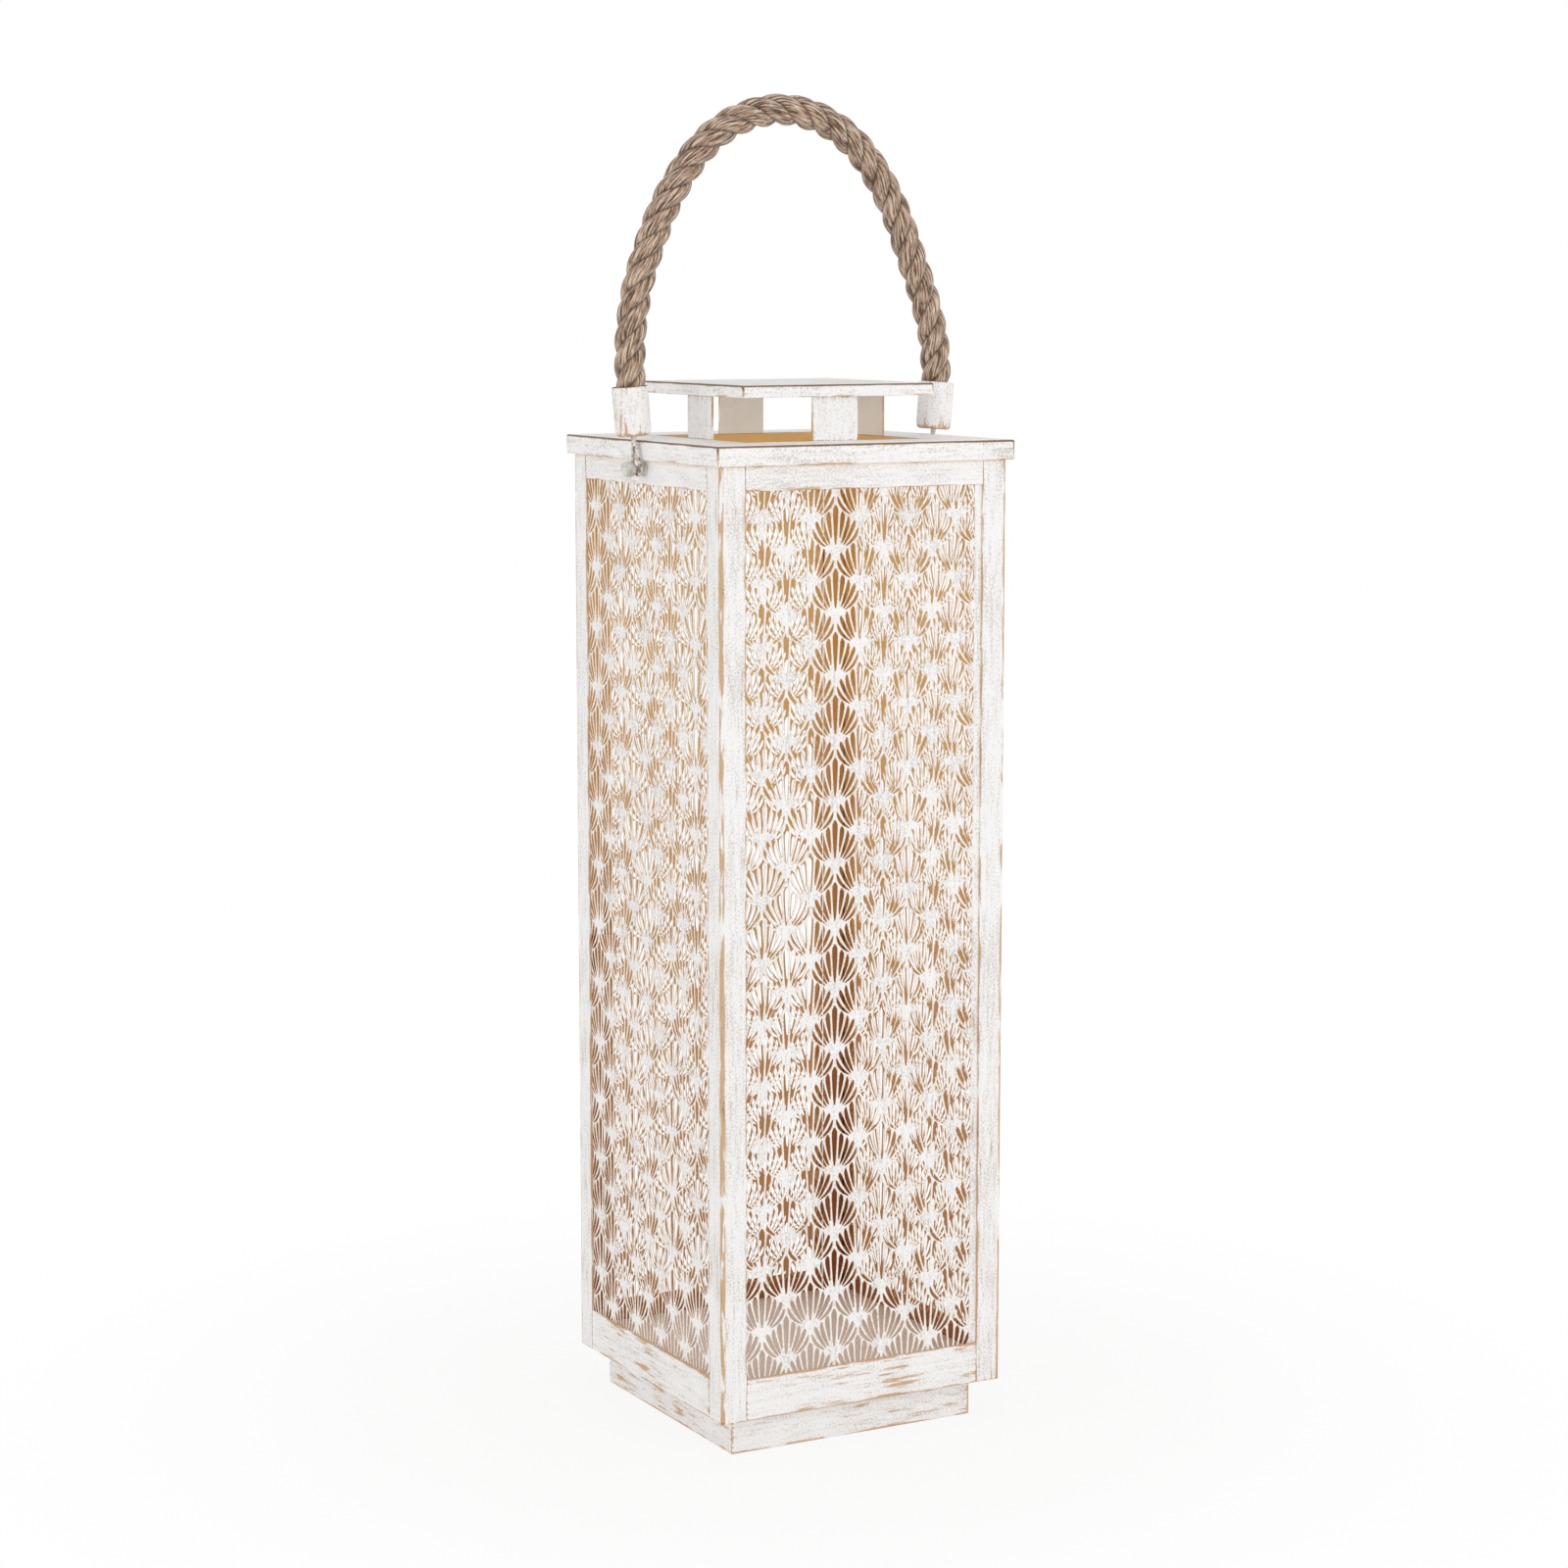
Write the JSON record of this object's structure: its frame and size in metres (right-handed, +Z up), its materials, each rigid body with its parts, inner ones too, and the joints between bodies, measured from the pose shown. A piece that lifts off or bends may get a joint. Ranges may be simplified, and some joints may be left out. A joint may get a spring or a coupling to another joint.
{
  "type": "hurricane candle lantern",
  "caption": "Tall square candle lantern with a white-washed folded steel frame, fan fretwork sides, a hinged back door, a vented lid under a raised cap and a swinging rope handle.",
  "frame": {"origin": "middle of the plinth's underside", "axes": "+Z up, front face towards -Y, door at +Y, handle pivots along X"},
  "size_m": [0.2416, 0.2155, 0.8351],
  "materials": {
    "washed_board": "white paint brushed thin and rubbed through to brown at the edges",
    "washed_metal": "white paint rubbed through to brown",
    "steel": "satin",
    "rope": "twisted jute"
  },
  "bodies": {
    "lantern": {"bottom_rail_front": "washed_metal", "bottom_rail_left": "washed_metal", "bottom_rail_right": "washed_metal", "catch_magnet": "steel", "floor_board": "washed_board", "fretwork_front": "washed_metal", "fretwork_left": "washed_metal", "fretwork_right": "washed_metal", "hinge_pin_lower": "steel", "hinge_pin_upper": "steel", "hinge_post_leaf_lower": "steel", "hinge_post_leaf_upper": "steel", "lid_board": "washed_board", "plinth": "washed_board", "post_back_left": "washed_metal", "post_back_right": "washed_metal", "post_front_left": "washed_metal", "post_front_right": "washed_metal", "stud_left": "washed_metal", "stud_nut_left": "steel", "stud_nut_right": "steel", "stud_right": "washed_metal", "top_rail_front": "washed_metal", "top_rail_left": "washed_metal", "top_rail_right": "washed_metal", "vent_cap": "washed_board", "vent_tab_back": "washed_metal", "vent_tab_front": "washed_metal", "vent_tab_left": "washed_metal", "vent_tab_right": "washed_metal"},
    "door": {"catch_plate": "steel", "door_bottom_rail": "washed_metal", "door_fretwork": "washed_metal", "door_knob": "washed_metal", "door_stile_hinge": "washed_metal", "door_stile_latch": "washed_metal", "door_top_rail": "washed_metal", "hinge_door_leaf_lower": "steel", "hinge_door_leaf_upper": "steel"},
    "handle": {"eye_left": "washed_metal", "eye_right": "washed_metal", "ferrule_left": "washed_metal", "ferrule_right": "washed_metal", "rope_handle": "rope"}
  },
  "joints": [
    {"name": "door_swing", "type": "hinge", "parent": "lantern", "child": "door", "pos_m": [0.0825, 0.1023, 0.3], "axis": [0, 0, -1], "range_deg": [0, 175]},
    {"name": "handle_swing", "type": "hinge", "parent": "lantern", "child": "handle", "pos_m": [0, 0, 0.6055], "axis": [1, 0, 0], "range_deg": [-14, 14]}
  ]
}
